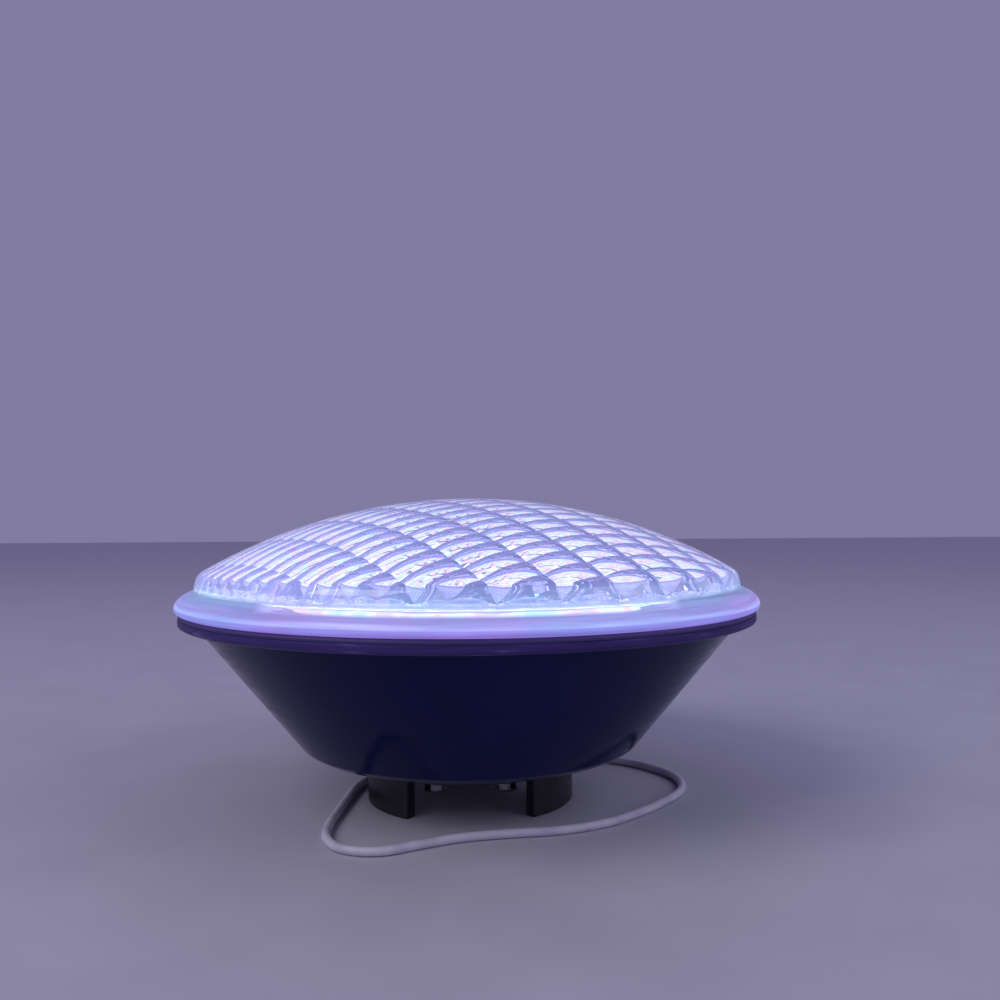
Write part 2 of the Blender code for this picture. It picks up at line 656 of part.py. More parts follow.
def make_supply_lead():
    """Two cores from the lugs, the jacketed lead round the base, its coil, and its connector."""
    lug_end_y = TERMINAL_Y + LUG_BARREL_END + GAP
    core_z = LUG_Z + LUG_THICKNESS / 2
    core_routes = (
        (
            (-TERMINAL_X, lug_end_y, core_z),
            (-TERMINAL_X - 0.6, lug_end_y + 4.0, core_z - 0.6),
            (-14.4, 8.6, core_z - 2.6),
            (-17.6, 11.0, 3.7),
        ),
        (
            (TERMINAL_X, lug_end_y, core_z),
            (TERMINAL_X - 0.6, lug_end_y + 5.0, core_z - 0.6),
            (4.0, 14.0, 5.4),
            (-6.0, 15.6, 3.2),
            (-13.6, 13.6, 2.8),
            (-17.9, 12.2, 3.0),
        ),
    )
    for number, route in enumerate(core_routes, 1):
        look = LOOKS["red_wire"] if number == 1 else LOOKS["black_wire"]
        make_wire(f"lead_core_{number}", route, 0.9, 2.0, look)
    make_wire("supply_lead", LEAD_ROUTE, LEAD_DIAMETER, LEAD_POINT_SPACING, LOOKS["lead"])

    low, high, edge = 0.1, 0.1 + COIL_HEIGHT, 1.2
    inner, outer = COIL_INNER_RADIUS, COIL_OUTER_RADIUS
    coil = [
        (outer - edge, high),
        (outer, high - edge),
        (outer, low + edge),
        (outer - edge, low),
        (inner + edge, low),
        (inner, low + edge),
        (inner, high - edge),
        (inner + edge, high),
    ]
    turned("lead_coil", coil, LOOKS["lead"], 32, at=(*COIL_CENTRE, 0.0))
    make_wire("lead_tail", LEAD_TAIL_ROUTE, LEAD_DIAMETER, LEAD_POINT_SPACING, LOOKS["lead"])
    finish_object(
        "lead_connector",
        block_bmesh(CONNECTOR_SIZE, 0.7),
        LOOKS["connector"],
        CONNECTOR_CENTRE,
        CONNECTOR_TURN_DEG,
    )


def main():
    make_front_lens()
    make_lens_seal()
    make_rear_housing()
    make_reflector()
    make_light_source()
    make_driver()
    make_base()
    for number, x in enumerate((-TERMINAL_X, TERMINAL_X), 1):
        make_terminal(number, x)
    make_supply_lead()


clear_scene()
main()
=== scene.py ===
from math import acos, cos, hypot, pi, radians, sin

import bpy
import numpy as np
from mathutils import Matrix, Vector
from mathutils.geometry import delaunay_2d_cdt


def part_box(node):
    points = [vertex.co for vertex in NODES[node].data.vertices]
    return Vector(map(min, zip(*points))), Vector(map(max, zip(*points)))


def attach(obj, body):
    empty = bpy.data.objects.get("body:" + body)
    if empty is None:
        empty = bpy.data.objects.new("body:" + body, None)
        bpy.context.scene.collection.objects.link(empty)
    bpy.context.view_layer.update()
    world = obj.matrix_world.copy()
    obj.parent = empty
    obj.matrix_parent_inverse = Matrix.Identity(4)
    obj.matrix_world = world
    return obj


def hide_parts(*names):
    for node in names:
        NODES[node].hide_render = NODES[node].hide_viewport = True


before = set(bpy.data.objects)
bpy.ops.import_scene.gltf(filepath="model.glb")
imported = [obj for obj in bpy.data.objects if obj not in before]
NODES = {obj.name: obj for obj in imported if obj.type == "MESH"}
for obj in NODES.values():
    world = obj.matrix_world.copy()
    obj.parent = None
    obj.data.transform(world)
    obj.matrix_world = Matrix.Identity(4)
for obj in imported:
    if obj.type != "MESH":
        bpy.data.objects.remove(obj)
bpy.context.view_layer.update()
MM = 0.001

# Camera, in metres and degrees.
CAMERA_PLACE = (0.0, -0.305, 0.0878)
CAMERA_PITCH_DEG = 0.869  # above the horizon
CAMERA_YAW_DEG = 1.843  # to the right
CAMERA_ROLL_DEG = 0.327
CAMERA_LENS = 34.53

# The lead's route, in metres, the same as the CAD part's.
LEAD_DIAMETER = 0.0025
LEAD_ROUTE = (
    (-0.0185, 0.0120, 0.0032),
    (-0.0228, 0.0144, 0.0023),
    (-0.0275, 0.0155, 0.0015),
    (-0.0330, 0.0120, 0.0013),
    (-0.0363, 0.0030, 0.0013),
    (-0.0375, -0.0080, 0.0013),
    (-0.0385, -0.0200, 0.0013),
    (-0.0395, -0.0320, 0.0013),
    (-0.0390, -0.0440, 0.0013),
    (-0.0340, -0.0530, 0.0013),
    (-0.0240, -0.0560, 0.0013),
    (-0.0140, -0.0515, 0.0013),
    (-0.0030, -0.0465, 0.0013),
    (0.0100, -0.0438, 0.0013),
    (0.0250, -0.0415, 0.0013),
    (0.0380, -0.0360, 0.0013),
    (0.0490, -0.0270, 0.0013),
    (0.0590, -0.0160, 0.0013),
    (0.0660, -0.0050, 0.0013),
    (0.0675, 0.0080, 0.0013),
    (0.0625, 0.0200, 0.0013),
    (0.0540, 0.0295, 0.0013),
    (0.0440, 0.0360, 0.0013),
    (0.0345, 0.0420, 0.0013),
    (0.0270, 0.0490, 0.0013),
    (0.0230, 0.0565, 0.0013),
    (0.0216, 0.0602, 0.0013),
)
TAIL_ROUTE = (
    (-0.0171, 0.0542, 0.0076),
    (-0.0179, 0.0500, 0.0058),
    (-0.0187, 0.0460, 0.0036),
    (-0.0195, 0.0420, 0.0025),
)
COIL_CENTRE = (0.0, 0.0640)
COIL_OUTER_TURN = 0.0166
COIL_INNER_TURN = 0.0118
COIL_MIDDLE_TURN = (COIL_OUTER_TURN + COIL_INNER_TURN) / 2
COIL_PITCH = 0.0026
COIL_FOOT_Z = 0.00165
COIL_LAYERS = 4
COIL_LAYER_TURNS = (COIL_OUTER_TURN - COIL_INNER_TURN) / COIL_PITCH
COIL_ENTRY_DEG = (-10.0, 50.0)
COIL_CLIMB_DEG = 90.0  # turn over which the lead climbs to the next layer
COIL_STEP_DEG = 9.0
ROUTE_STEPS = 6  # points of the fine line to each point of a route
CONNECTOR_TURN_DEG = -11.3

# Lens, in millimetres.
DOME_CURVE = 163.6
DOME_CENTRE_Z = 93.0 - DOME_CURVE
DOME_ROUND = 80.9  # radius where the dome starts to bend down into the wall
LENS_THICKNESS = 4.0
LENS_INNER_EDGE = 79.0
LENS_SEGMENTS = 540
PRISM_LONG_PITCH = 14.4
PRISM_SHORT_PITCH = 6.25
PRISM_LONG_DIRECTION = (0.609, -0.793)  # along the long ridges
PRISM_LONG_PHASE = 0.55
PRISM_SHORT_PHASE = -2.9
PRISM_LONG_RISE = 1.16
PRISM_SHORT_RISE = 0.64
PRISM_LONG_CUTS = 16  # mesh steps across each prism
PRISM_SHORT_CUTS = 8
PRISM_SHARP_DEG = 24.0

# Lens outline as (radius, height), and its wall's inside with the share of the flutes' depth.
DOME_STEPS = 18
CORNER_STEPS = 10
FLANGE_ROUNDING = 0.6
DOME_WALL_CORNER = (82.95, 70.6)
WALL_AND_FLANGE = (
    (83.35, 67.6),
    (83.5, 66.2),
    (83.9, 65.6),
    (85.4, 65.1),
    (87.2, 64.2),
    (88.6, 62.8),
    (89.0, 61.6),
    (89.0, 60.7),
    (88.5, 60.0),
    (87.6, 59.7),
    (80.6, 59.7),
)
WALL_INSIDE = (
    (80.5, 61.0, 0.0),
    (80.4, 62.0, 0.2),
    (80.3, 63.2, 0.5),
    (80.2, 64.8, 0.6),
    (80.0, 65.7, 0.6),
)
FLANGE_START = 82.0  # radius past which the glass belongs to the wall and the flange

# Colours that light scattered in the glass gives it, as (noise value, colour) stops.
LENS_GLOW = (
    (0.42, (0.024, 0.038, 0.084)),
    (0.50, (0.031, 0.037, 0.088)),
    (0.58, (0.044, 0.033, 0.084)),
)
WALL_GLOW = (
    (0.42, (0.12, 0.18, 0.32)),
    (0.50, (0.22, 0.26, 0.45)),
    (0.62, (0.48, 0.49, 0.66)),
)
LENS_GLOW_LEFT = 1.55  # how much stronger LENS_GLOW is at the left edge

# The same for the flange and the wall outside, by height from its foot to the dome.
FLANGE_GLOW_HEIGHTS = (59.0, 69.0)
FLANGE_GLOW = (
    (0.06, (0.36, 0.18, 0.60)),
    (0.10, (0.15, 0.12, 0.50)),
    (0.24, (0.15, 0.15, 0.52)),
    (0.28, (0.28, 0.33, 0.74)),
    (0.35, (0.26, 0.30, 0.70)),
    (0.42, (0.20, 0.17, 0.46)),
    (0.50, (0.18, 0.18, 0.44)),
    (0.56, (0.14, 0.16, 0.36)),
    (0.70, (0.10, 0.19, 0.29)),
    (1.00, (0.07, 0.11, 0.20)),
)
FLANGE_DRIFT = (
    (0.40, (1.0, 1.12, 0.96)),
    (0.60, (1.35, 0.96, 0.96)),
)

# Housing, in millimetres, and the colours of the marks on its rim: handling scratches whose palest streaks
# are partly a painted highlight.
RIM_TOP_Z = 58.3
RIM_FOOT_Z = 55.6
CONE_TOP_RADIUS = 82.7
CONE_SLOPE = 0.81  # radius lost for each millimetre down
CONE_FOOT_Z = 16.0
CONE_SMEARS = (
    (0.3, (0.002, 0.004, 0.046)),
    (0.7, (0.004, 0.006, 0.062)),
)
RIM_MARKS_AND_HIGHLIGHTS = (
    (0.35, (0.040, 0.026, 0.12)),
    (0.62, (0.058, 0.038, 0.16)),
    (0.72, (0.13, 0.10, 0.25)),
)
BOSS_CIRCLE = 25.0
BOSS_ANGLES_DEG = (90.0, 210.0, 330.0)

# Tints of the reflector and the board under the mixed coloured emitters.
GLOW_TINTS = (
    (0.36, (0.50, 1.05, 1.00)),
    (0.44, (0.98, 1.18, 1.04)),
    (0.52, (1.14, 1.12, 1.04)),
    (0.58, (1.18, 0.68, 0.90)),
    (0.68, (0.80, 0.80, 1.00)),
)
EMITTER_TINTS = {
    "red": ((1.0, 0.62, 0.86), (1.0, 0.80, 0.95)),
    "green": ((0.62, 1.0, 0.97), (0.80, 1.0, 1.0)),
    "blue": ((0.74, 0.78, 1.0), (0.88, 0.90, 1.0)),
}
EMITTER_GLOW = 1.3
EMITTER_COUNT = 18
REFLECTOR_SPECKS = (0.34, 0.26, 0.62, 1.0)
REFLECTOR_TOP = (0.28, 0.26, 0.62, 1.0)
BOARD_MIDDLE = (0.14, 0.08, 0.45, 1.0)
REFLECTOR = (
    (79.2, 62.0),
    (79.2, 58.8),
    (61.4, 44.3),
    (60.2, 44.3),
    (60.2, 44.5),
    (78.2, 58.3),
    (78.7, 62.2),
)

# Studio: name, place, side, power and colour of each light, in metres and watts.
LIGHTS = (
    ("key", (-0.9, -0.7, 1.0), 0.8, 7.0, (1.0, 0.97, 1.0)),
    ("fill", (1.0, -0.5, 0.7), 0.9, 3.0, (0.9, 0.93, 1.0)),
)
LIGHTS_AIM = (0.0, 0.0, 0.05)
WORLD_COLOUR = (0.22, 0.20, 0.36, 1.0)
FLOOR_REACH = 3000.0  # millimetres


# ---------------------------------------------------------------- materials


def node(tree, kind, inputs=None, **settings):
    """Adds a node. inputs maps a socket's name or number to a value or to another node's output."""
    made = tree.nodes.new(kind)
    for key, value in settings.items():
        setattr(made, key, value)
    for key, value in (inputs or {}).items():
        if isinstance(value, bpy.types.NodeSocket):
            tree.links.new(value, made.inputs[key])
        else:
            made.inputs[key].default_value = value
    return made


def math_node(tree, operation, *values):
    return node(tree, "ShaderNodeMath", dict(enumerate(values)), operation=operation).outputs[0]


def product(tree, first, *others):
    for other in others:
        first = math_node(tree, "MULTIPLY", first, other)
    return first


def mix(tree, share, first, second, **settings):
    """first where share is 0 and second where it is 1, as colours."""
    inputs = {"Fac": share, "Color1": first, "Color2": second}
    return node(tree, "ShaderNodeMixRGB", inputs, **settings).outputs["Color"]


def ramp(tree, factor, stops):
    """A colour ramp through (position, colour) stops."""
    made = node(tree, "ShaderNodeValToRGB", {"Fac": factor})
    line = made.color_ramp
    while len(line.elements) < len(stops):
        line.elements.new(0.5)
    for element, (position, colour) in zip(line.elements, stops):
        element.position = position
        element.color = (*colour, 1.0)
    return made.outputs["Color"]


def rescale(tree, value, low, high, to_low=0.0, to_high=1.0):
    """value moved from the span low to high to the span to_low to to_high, and held inside it."""
    inputs = {"Value": value, "From Min": low, "From Max": high, "To Min": to_low, "To Max": to_high}
    return node(tree, "ShaderNodeMapRange", inputs).outputs["Result"]


def surface(name, colour, rough, metal=0.0, **more):
    """A Principled material; more sets further inputs, with _ for each space in their names."""
    made = bpy.data.materials.new(name)
    made.use_nodes = True
    shader = made.node_tree.nodes["Principled BSDF"]
    shader.inputs["Base Color"].default_value = (*colour, 1.0)
    shader.inputs["Roughness"].default_value = rough
    shader.inputs["Metallic"].default_value = metal
    for key, value in more.items():
        shader.inputs[key.replace("_", " ")].default_value = value
    return made, made.node_tree, shader


def noise(tree, scale, stretch=(1.0, 1.0, 1.0), detail=4.0):
    """Noise in the object's own coordinates, in metres, stretched along its axes."""
    spot = node(tree, "ShaderNodeTexCoord").outputs["Object"]
    spot = node(tree, "ShaderNodeMapping", {"Vector": spot, "Scale": stretch}).outputs["Vector"]
    inputs = {"Vector": spot, "Scale": scale, "Detail": detail}
    return node(tree, "ShaderNodeTexNoise", inputs).outputs["Fac"]


def grained(name, dark, light, rough, scale, stretch=(1.0, 1.0, 1.0), bump=0.0, metal=0.0, edge=0.0):
    """A material whose colour and roughness wander between two ends, with a fine bump.

    bump is its height and edge the radius that sharp edges look worn to, in millimetres.
    """
    made, tree, shader = surface(name, dark, rough[0], metal)
    grain = noise(tree, scale, stretch)
    tree.links.new(ramp(tree, grain, ((0.3, dark), (0.7, light))), shader.inputs["Base Color"])
    tree.links.new(rescale(tree, grain, 0.3, 0.7, *rough), shader.inputs["Roughness"])
    if bump:
        relief = node(tree, "ShaderNodeBump", {"Height": grain, "Strength": 1.0, "Distance": bump * MM})
        tree.links.new(relief.outputs["Normal"], shader.inputs["Normal"])
        if edge:
            worn = node(tree, "ShaderNodeBevel", {"Radius": edge * MM}, samples=4)
            tree.links.new(worn.outputs["Normal"], relief.inputs["Normal"])
    return made


def turned_metal(name, dark, light, rough):
    """Metal with fine level marks, such as a lathe leaves on a turned side."""
    return grained(name, dark, light, rough, 900.0, (0.15, 0.15, 2.5), bump=0.01, metal=1.0, edge=0.15)


def glowing(name, dark, light, strength, scale):
    """A lit surface whose colour drifts between two tints."""
    made, tree, shader = surface(name, dark, 0.4, Emission_Strength=strength)
    colour = ramp(tree, noise(tree, scale, detail=1.0), ((0.4, dark), (0.6, light)))
    tree.links.new(colour, shader.inputs["Base Color"])
    tree.links.new(colour, shader.inputs["Emission Color"])
    return made


def lamp_coordinates(tree):
    """Distance from the lamp's axis, height, and place along X and Y, in millimetres."""
    spot = node(tree, "ShaderNodeTexCoord").outputs["Object"]
    split = node(tree, "ShaderNodeSeparateXYZ", {"Vector": spot}).outputs
    x, y, z = (math_node(tree, "DIVIDE", split[axis], MM) for axis in "XYZ")
    squares = math_node(tree, "ADD", math_node(tree, "POWER", x, 2.0), math_node(tree, "POWER", y, 2.0))
    return math_node(tree, "SQRT", squares), z, x, y


def lens_frost(tree, radius, height, x):
    """How milky the glass is: the flange under its upper shoulder, the wall's foot, and both sides."""
    below = rescale(tree, height, 64.9, 64.2)
    far_out = rescale(tree, math_node(tree, "ABSOLUTE", x), 47.0, 53.0)
    sides = product(tree, far_out, rescale(tree, height, 67.0, 66.0))
    foot = product(tree, rescale(tree, radius, 83.8, 83.55), rescale(tree, height, 67.4, 66.4), 0.7)
    return math_node(tree, "MAXIMUM", math_node(tree, "MAXIMUM", below, sides), foot)


def lens_glow(tree, outside, radius, height):
    """Colour of the light scattered in the glass."""
    inside_wall = product(
        tree,
        rescale(tree, radius, 79.2, 79.6),
        rescale(tree, radius, 81.6, 81.0),
        rescale(tree, height, 67.0, 66.4),
        rescale(tree, height, 65.2, 65.9),
    )
    dome_glow = ramp(tree, noise(tree, 120.0, detail=2.0), LENS_GLOW)
    wall_glow = ramp(tree, noise(tree, 260.0, detail=3.0), WALL_GLOW)
    inner_glow = mix(tree, inside_wall, dome_glow, wall_glow)
    by_height = ramp(tree, rescale(tree, height, *FLANGE_GLOW_HEIGHTS), FLANGE_GLOW)
    drift = ramp(tree, noise(tree, 30.0, (1.0, 1.0, 2.5), detail=5.0), FLANGE_DRIFT)
    flange_glow = mix(tree, 1.0, by_height, drift, blend_type="MULTIPLY")
    return mix(tree, outside, inner_glow, flange_glow)


def lens_look():
    """Clear glass that turns milky and glows in the flange."""
    made, tree, shader = surface("lens_glass", (0.86, 0.87, 1.0), 0.02, IOR=1.47)
    radius, height, x, _ = lamp_coordinates(tree)
    outside = rescale(tree, radius, FLANGE_START - 0.5, FLANGE_START + 0.5)
    frost = product(tree, outside, lens_frost(tree, radius, height, x))
    veil = product(tree, outside, rescale(tree, height, 66.4, 65.8))
    clear = product(tree, rescale(tree, frost, 0.0, 1.0, 1.0, 0.06), rescale(tree, veil, 0.0, 1.0, 1.0, 0.92))
    colour = mix(tree, frost, (0.86, 0.87, 1.0, 1.0), (0.22, 0.24, 0.5, 1.0))
    streaks = rescale(tree, noise(tree, 240.0, (0.15, 0.15, 3.5), detail=5.0), 0.35, 0.65, 0.78, 1.18)
    leftward = rescale(tree, x, -10.0, -65.0, 1.0, LENS_GLOW_LEFT)
    tree.links.new(clear, shader.inputs["Transmission Weight"])
    tree.links.new(colour, shader.inputs["Base Color"])
    tree.links.new(rescale(tree, frost, 0.0, 1.0, 0.02, 0.35), shader.inputs["Roughness"])
    tree.links.new(lens_glow(tree, outside, radius, height), shader.inputs["Emission Color"])
    tree.links.new(rescale(tree, outside, 0.0, 1.0, leftward, streaks), shader.inputs["Emission Strength"])
    return made


# ---------------------------------------------------------------- shapes


def link(obj):
    bpy.context.scene.collection.objects.link(obj)
    return obj


def mesh_object(name, parts, look, smooth_deg=35.0):
    """One object from (vertices in millimetres, faces) parts."""
    verts, faces = [], []
    for more_verts, more_faces in parts:
        start = len(verts)
        verts += [tuple(c * MM for c in v) for v in more_verts]
        faces += [tuple(start + i for i in face) for face in more_faces]
    mesh = bpy.data.meshes.new(name)
    mesh.from_pydata(verts, [], faces)
    mesh.materials.append(look)
    mesh.shade_smooth()
    mesh.set_sharp_from_angle(angle=radians(smooth_deg))
    return link(bpy.data.objects.new(name, mesh))


def lathe(outline, segments=192, closed=True, at=(0.0, 0.0, 0.0)):
    """An outline of (radius, height) points, running down its outer side first, turned round the Z axis."""
    verts, rings = [], []
    for r, z in outline:
        if r <= 1e-6:
            rings.append([len(verts)] * segments)
            verts.append((at[0], at[1], z + at[2]))
            continue
        rings.append(list(range(len(verts), len(verts) + segments)))
        turns = [2 * pi * i / segments for i in range(segments)]
        verts += [(at[0] + r * cos(a), at[1] + r * sin(a), z + at[2]) for a in turns]
    faces = []
    for upper, lower in zip(rings, rings[1:] + rings[:1] if closed else rings[1:]):
        for i in range(segments):
            j = (i + 1) % segments
            face = [upper[i], lower[i], lower[j], upper[j]]
            face = [v for k, v in enumerate(face) if v != face[k - 1]]
            if len(face) > 2:
                faces.append(face)
    return verts, faces


def bend(start, corner, end, steps):
    """Points of a curve that leaves start and reaches end in line with the corner between them."""
    a, here, b = Vector(start), Vector(corner), Vector(end)
    shares = [i / steps for i in range(steps + 1)]
    return [tuple(a * (1 - t) ** 2 + here * (2 * t * (1 - t)) + b * t**2) for t in shares]


def rounded(outline, radius, steps=4):
    """The outline with its corners rounded, apart from the first and the last."""
    made = [outline[0]]
    for k in range(1, len(outline) - 1):
        before, here, after = (Vector(outline[i]) for i in (k - 1, k, k + 1))
        reach = min(radius, (before - here).length * 0.45, (after - here).length * 0.45)
        if reach < 0.02:
            made.append(tuple(here))
            continue
        start = here + (before - here).normalized() * reach
        end = here + (after - here).normalized() * reach
        made += bend(start, here, end, steps)
    return made + [outline[-1]]


def block(centre, size, edge):
    """A box with chamfered edges, centred on a point."""
    half_x, half_y, half_z = (value / 2 for value in size)
    verts = []
    for z, inset in ((half_z, edge), (half_z - edge, 0.0), (edge - half_z, 0.0), (-half_z, edge)):
        x, y = half_x - inset, half_y - inset
        corners = [(x - edge, -y), (x, edge - y), (x, y - edge), (x - edge, y)]
        corners += [(edge - x, y), (-x, y - edge), (-x, edge - y), (edge - x, -y)]
        verts += [(centre[0] + a, centre[1] + b, centre[2] + z) for a, b in corners]
    faces = [tuple(range(8)), tuple(range(31, 23, -1))]
    for k in range(3):
        for i in range(8):
            j = (i + 1) % 8
            faces.append((8 * k + i, 8 * (k + 1) + i, 8 * (k + 1) + j, 8 * k + j))
    return verts, faces


def tube_along(path, radius, around):
    """A round tube with closed ends along a path of points."""
    verts, faces = [], []
    side = Vector((0.0, 0.0, 1.0))
    for k, point in enumerate(path):
        heading = (path[min(k + 1, len(path) - 1)] - path[max(k - 1, 0)]).normalized()
        side = (side - heading * side.dot(heading)).normalized()
        other = heading.cross(side)
        for i in range(around):
            a = 2 * pi * i / around
            verts.append(tuple(point + (side * cos(a) + other * sin(a)) * radius))
    for k in range(len(path) - 1):
        for i in range(around):
            j = (i + 1) % around
            faces.append((k * around + i, k * around + j, (k + 1) * around + j, (k + 1) * around + i))
    last = (len(path) - 1) * around
    faces.append(tuple(range(around - 1, -1, -1)))
    faces.append(tuple(last + i for i in range(around)))
    return verts, faces


def loft(sections, axis_turn_deg, centre, points=40, power=4.0):
    """A body of rounded-box sections (distance along, half width, half height), closed at both ends."""
    verts, faces = [], []
    turn = Matrix.Rotation(radians(axis_turn_deg), 3, "Z")
    for y, half_x, half_z in sections:
        for i in range(points):
            a = 2 * pi * i / points
            x = half_x * abs(cos(a)) ** (2 / power) * (1 if cos(a) >= 0 else -1)
            z = half_z * abs(sin(a)) ** (2 / power) * (1 if sin(a) >= 0 else -1)
            verts.append(tuple(turn @ Vector((x, y, z)) + Vector(centre)))
    for k in range(len(sections) - 1):
        for i in range(points):
            j = (i + 1) % points
            faces.append((k * points + i, k * points + j, (k + 1) * points + j, (k + 1) * points + i))
    last = (len(sections) - 1) * points
    faces.append(tuple(range(points - 1, -1, -1)))
    faces.append(tuple(last + i for i in range(points)))
    return verts, faces


def catmull_rom(route, steps):
    """Points of a smooth curve through a route's own points."""
    points = [Vector(p) for p in route]
    ends = [2 * points[0] - points[1], *points, 2 * points[-1] - points[-2]]
    fine = []
    for before, here, there, after in zip(ends, ends[1:], ends[2:], ends[3:]):
        for i in range(steps):
            t = i / steps
            fine.append(
                0.5
                * (
                    2 * here
                    + (there - before) * t
                    + (2 * before - 5 * here + 4 * there - after) * t**2
                    + (3 * here - before - 3 * there + after) * t**3
                )
            )
    fine.append(points[-1])
    return fine


def smoothstep(x):
    x = min(1.0, max(0.0, x))
    return x * x * (3 - 2 * x)


def middle_of(node_name):
    """Centre of a CAD node's box in x and y, and its lowest point, in millimetres."""
    low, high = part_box(node_name)
    return (low[0] + high[0]) / 2 / MM, (low[1] + high[1]) / 2 / MM, low[2] / MM


def repaint(name, look):
    """Gives a CAD node that is shown as it is its material."""
    NODES[name].data.materials.clear()
    NODES[name].data.materials.append(look)


def place(obj, body, slot, *nodes):
    """Attaches a piece to the empty of the body it moves with and hides the CAD nodes it stands for. slot,
    its material slot, is not used.
    """
    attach(obj, body)
    if nodes:
        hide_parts(*nodes)
    return obj


# ---------------------------------------------------------------- lens


def prism_depth(x, y):
    """How far the ridges between the hollow prisms on the lens's inner face stand proud of it."""
    along_x, along_y = PRISM_LONG_DIRECTION
    along = (along_x * x + along_y * y - PRISM_SHORT_PHASE) / PRISM_SHORT_PITCH
    across = (-along_y * x + along_x * y - PRISM_LONG_PHASE) / PRISM_LONG_PITCH
    s = along - np.floor(along) - 0.5
    t = across - np.floor(across) - 0.5
    return PRISM_SHORT_RISE * 4 * s * s + PRISM_LONG_RISE * 4 * t * t


def prism_face():
    """The lens's inner face as points and triangles whose edges run along every ridge."""
    along = Vector(PRISM_LONG_DIRECTION).normalized()
    across = Vector((-along.y, along.x))
    short_step = PRISM_SHORT_PITCH / PRISM_SHORT_CUTS
    long_step = PRISM_LONG_PITCH / PRISM_LONG_CUTS
    inside = LENS_INNER_EDGE - 0.4
    rows = int(inside / short_step) + PRISM_SHORT_CUTS
    columns = int(inside / long_step) + PRISM_LONG_CUTS
    points = []
    for i in range(-rows, rows):
        for j in range(-columns, columns):
            on_ridge = along * (PRISM_SHORT_PHASE + i * short_step)
            point = on_ridge + across * (PRISM_LONG_PHASE + j * long_step)
            if point.length < inside:
                points.append(point)
    rim = [Vector((cos(a), sin(a))) * LENS_INNER_EDGE for a in lens_turns()]
    flat, _, triangles, *_ = delaunay_2d_cdt(rim + points, [], [], 0, 1e-5)
    flat = np.array([tuple(v) for v in flat])
    squares = np.minimum((flat**2).sum(axis=1), LENS_INNER_EDGE**2)
    heights = DOME_CENTRE_Z + np.sqrt((DOME_CURVE - LENS_THICKNESS) ** 2 - squares)
    heights -= prism_depth(flat[:, 0], flat[:, 1])
    return np.column_stack([flat, heights]), triangles


def lens_turns():
    """Angles of the lens's segments."""
    return [2 * pi * i / LENS_SEGMENTS for i in range(LENS_SEGMENTS)]


def lens_outside():
    """Outline of the dome, wall and flange, from just off the top down and in to the flange's foot."""
    edge = acos(DOME_ROUND / DOME_CURVE)
    outline = []
    for i in range(1, DOME_STEPS + 1):
        a = pi / 2 + (edge - pi / 2) * i / DOME_STEPS
        outline.append((DOME_CURVE * cos(a), DOME_CENTRE_Z + DOME_CURVE * sin(a)))
    outline += bend(outline[-1], DOME_WALL_CORNER, WALL_AND_FLANGE[0], CORNER_STEPS)[1:-1]
    return outline + rounded(WALL_AND_FLANGE, FLANGE_ROUNDING, 3)


def make_lens():
    """Smooth dome, wall and flange outside; inside, prisms that run out as flutes down the wall."""
    circle = np.array([(cos(a), sin(a)) for a in lens_turns()])
    edge_xy = LENS_INNER_EDGE * circle
    flute = prism_depth(edge_xy[:, 0], edge_xy[:, 1])
    rings = [np.column_stack([r * circle, np.full(LENS_SEGMENTS, z)]) for r, z in lens_outside()]
    for r, z, share in WALL_INSIDE:
        reach = (r - share * flute)[:, None]
        rings.append(np.column_stack([reach * circle, np.full(LENS_SEGMENTS, z)]))
    face_points, triangles = prism_face()
    face_start = len(rings) * LENS_SEGMENTS
    apex = np.array([[0.0, 0.0, DOME_CENTRE_Z + DOME_CURVE]])
    verts = np.concatenate([*rings, face_points, apex])
    faces = []
    for k in range(len(rings)):
        a, b = k * LENS_SEGMENTS, (k + 1) * LENS_SEGMENTS
        for i in range(LENS_SEGMENTS):
            j = (i + 1) % LENS_SEGMENTS
            faces.append((a + i, b + i, b + j, a + j))
    faces += [(len(verts) - 1, i, (i + 1) % LENS_SEGMENTS) for i in range(LENS_SEGMENTS)]
    faces += [tuple(face_start + i for i in reversed(triangle)) for triangle in triangles]
    lens = mesh_object("lens_glass", [(verts.tolist(), faces)], lens_look(), smooth_deg=PRISM_SHARP_DEG)
    place(lens, "lamp", "lens_glass", "front_lens")


# ---------------------------------------------------------------- housing


def cone_radius(z):
    """Outer radius of the housing's cone at height z."""
    return CONE_TOP_RADIUS - CONE_SLOPE * (RIM_FOOT_Z - z)


def housing_look():
    """Glossy navy cone under a slightly paler, duller rim, both with faint marks from handling; on the rim
    the palest streaks of these marks are partly a painted highlight.
    """
    made, tree, shader = surface("housing_gloss", (0.010, 0.012, 0.045), 0.16, Specular_IOR_Level=0.14)
    shader.inputs["Specular Tint"].default_value = (0.5, 0.55, 1.0, 1.0)
    height = lamp_coordinates(tree)[1]
    rim = rescale(tree, height, RIM_FOOT_Z - 0.4, RIM_FOOT_Z + 0.3)
    marks = noise(tree, 260.0, (0.25, 0.25, 3.0), detail=6.0)
    smears = noise(tree, 38.0, (1.0, 1.0, 0.5), detail=3.0)
    # Rim colour: handling scratches, their palest streaks partly a painted highlight.
    colour = mix(tree, rim, ramp(tree, smears, CONE_SMEARS), ramp(tree, marks, RIM_MARKS_AND_HIGHLIGHTS))
    tree.links.new(colour, shader.inputs["Base Color"])
    wear = rescale(tree, marks, 0.3, 0.7, 0.10, 0.24)
    dull = math_node(tree, "MULTIPLY_ADD", rim, 0.25, wear)
    tree.links.new(dull, shader.inputs["Roughness"])
    relief = node(tree, "ShaderNodeBump", {"Height": marks, "Strength": 0.35, "Distance": 0.05 * MM})
    tree.links.new(relief.outputs["Normal"], shader.inputs["Normal"])
    return made


